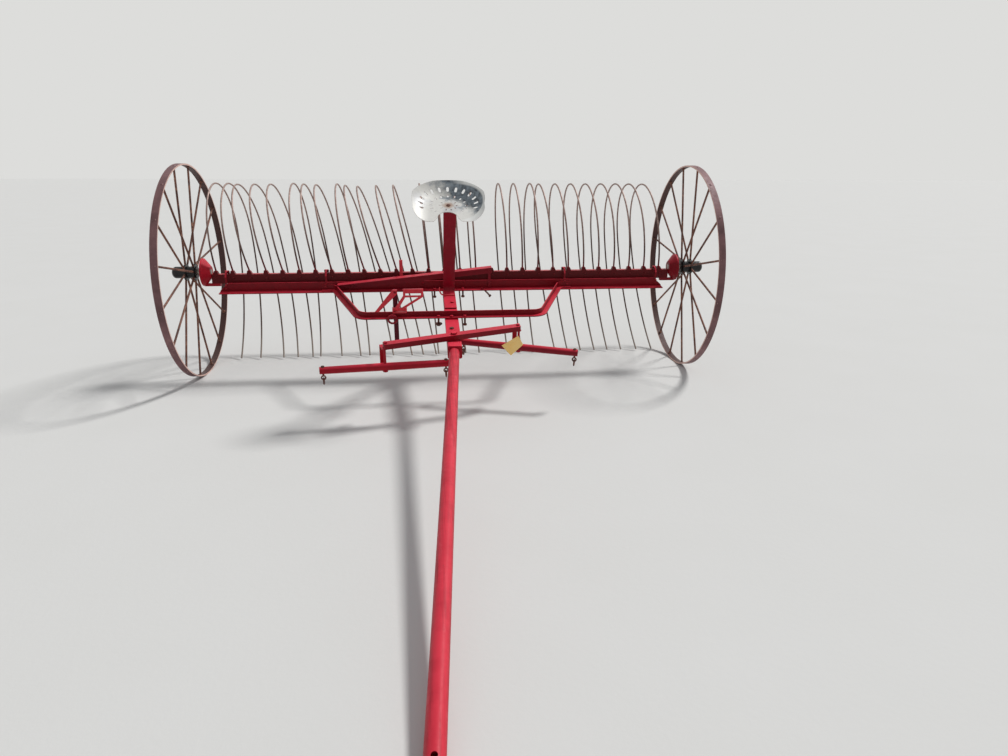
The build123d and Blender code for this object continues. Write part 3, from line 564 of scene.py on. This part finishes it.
rows = [(ev(s * 394, 0, 30), up, 0.011, 0.009, 6) for s in (-1, 1)]
fasteners("evener_bolts", "evener", rows, red)
for side, word, lie in ((-1, "left", radians(-12)), (1, "right", radians(-35))):
    along = evener_x * cos(lie) + evener_back * sin(lie)
    beside = frame_z.cross(along)
    middle = ev(side * hanger_half, 0, -hanger_drop)
    mesh = bmesh.new()
    for end in (-1, 1):
        eye = middle + along * (end * 0.334)
        lathe(mesh, eye + frame_z * 0.0175, frame_z, [(0, 0.010), (0.007, 0.010), (0.009, 0.007)], 6)
        rod(mesh, [eye - frame_z * 0.016, eye - frame_z * 0.034], 0.0055)
        ring(mesh, eye - frame_z * 0.043, beside, 0.011, 0.0042, 14)
        ring(mesh, eye - frame_z * 0.063, along, 0.017, 0.004, 18)
    piece(f"singletree_rings_{word}", f"singletree_{word}", fastener, mesh)

# The blank tag, wired to the right singletree
mesh = bmesh.new()
corners = [(286, -197), (383, -138), (413, -194), (342, -262)]
thick = frame_y * 0.0008
sheets = [[mesh.verts.new(fr(x, -897, z) + thick * shift) for x, z in corners] for shift in (-1, 1)]
skin(mesh, sheets)
piece("blank_tag", "singletree_right", tag, mesh)
mesh = bmesh.new()
near = middle - along * 0.03
loop_points = arc(near, frame_z, beside, 0.0245, 0, 345, 23)
rod(mesh, [fr(372, -894.5, -150), fr(372, -893, -175)] + loop_points, 0.0011, 6)
piece("tag_wire", "singletree_right", steel, mesh)

# Floor, light and camera
floor_mesh = bpy.data.meshes.new("floor")
floor_mesh.from_pydata([(-60, -60, 0), (60, -60, 0), (60, 60, 0), (-60, 60, 0)], [], [(0, 1, 2, 3)])
floor = put("floor", floor_mesh)
floor.location.z = -0.0004
g = Graph("floor_pale")
pale = g.mix(g.noise(1.5), colour(226, 225, 221), colour(230, 229, 226))
floor_mesh.materials.append(g.end(pale, 0.9, g.bump(g.noise(40), 0.0005)))

world = bpy.data.worlds.new("studio")
bpy.context.scene.world = world
world.use_nodes = True
tree = world.node_tree
sky = tree.nodes["Background"]
sky.inputs["Color"].default_value = colour(238, 241, 246)
sky.inputs["Strength"].default_value = 0.38
seen = tree.nodes.new("ShaderNodeBackground")
seen.inputs["Color"].default_value = colour(221, 221, 219)
rays = tree.nodes.new("ShaderNodeLightPath")
share = rays.outputs["Is Camera Ray"]
for kind in ("Is Transmission Ray", "Is Glossy Ray"):
    either = tree.nodes.new("ShaderNodeMath")
    either.operation = "MAXIMUM"
    tree.links.new(share, either.inputs[0])
    tree.links.new(rays.outputs[kind], either.inputs[1])
    share = either.outputs[0]
chosen = tree.nodes.new("ShaderNodeMixShader")
tree.links.new(share, chosen.inputs[0])
tree.links.new(sky.outputs[0], chosen.inputs[1])
tree.links.new(seen.outputs[0], chosen.inputs[2])
tree.links.new(chosen.outputs[0], tree.nodes["World Output"].inputs["Surface"])

key = bpy.data.lights.new("key", "SUN")
key.energy = 2.2
key.angle = radians(10)
lamp = put("key", key)
lamp_place = Vector((5.0, 3.4, 7.2))
lamp_target = Vector((0, 0.6, 0.4))
lamp.location = lamp_place
lamp.rotation_mode = "QUATERNION"
lamp.rotation_quaternion = (lamp_target - lamp_place).to_track_quat("-Z", "Y")

# The camera stands where the photo's stood: turned a little to the right, and tilted down
yaw, pitch, roll = 0.1077, -0.2967, 0.0042
ahead = Vector((sin(yaw) * cos(pitch), cos(yaw) * cos(pitch), sin(pitch)))
right = Vector((cos(yaw), -sin(yaw), 0))
top = right.cross(ahead)
right, top = right * cos(roll) + top * sin(roll), top * cos(roll) - right * sin(roll)
camera_data = bpy.data.cameras.new("camera")
camera_data.lens = 25.09
camera_data.clip_end = 200
camera = put("camera", camera_data)
camera_turn = Matrix((right, top, -ahead)).transposed().to_4x4()
camera.matrix_world = Matrix.Translation((-0.127, -3.38174, 1.381)) @ camera_turn
bpy.context.scene.camera = camera
bpy.context.scene.view_settings.view_transform = "Standard"
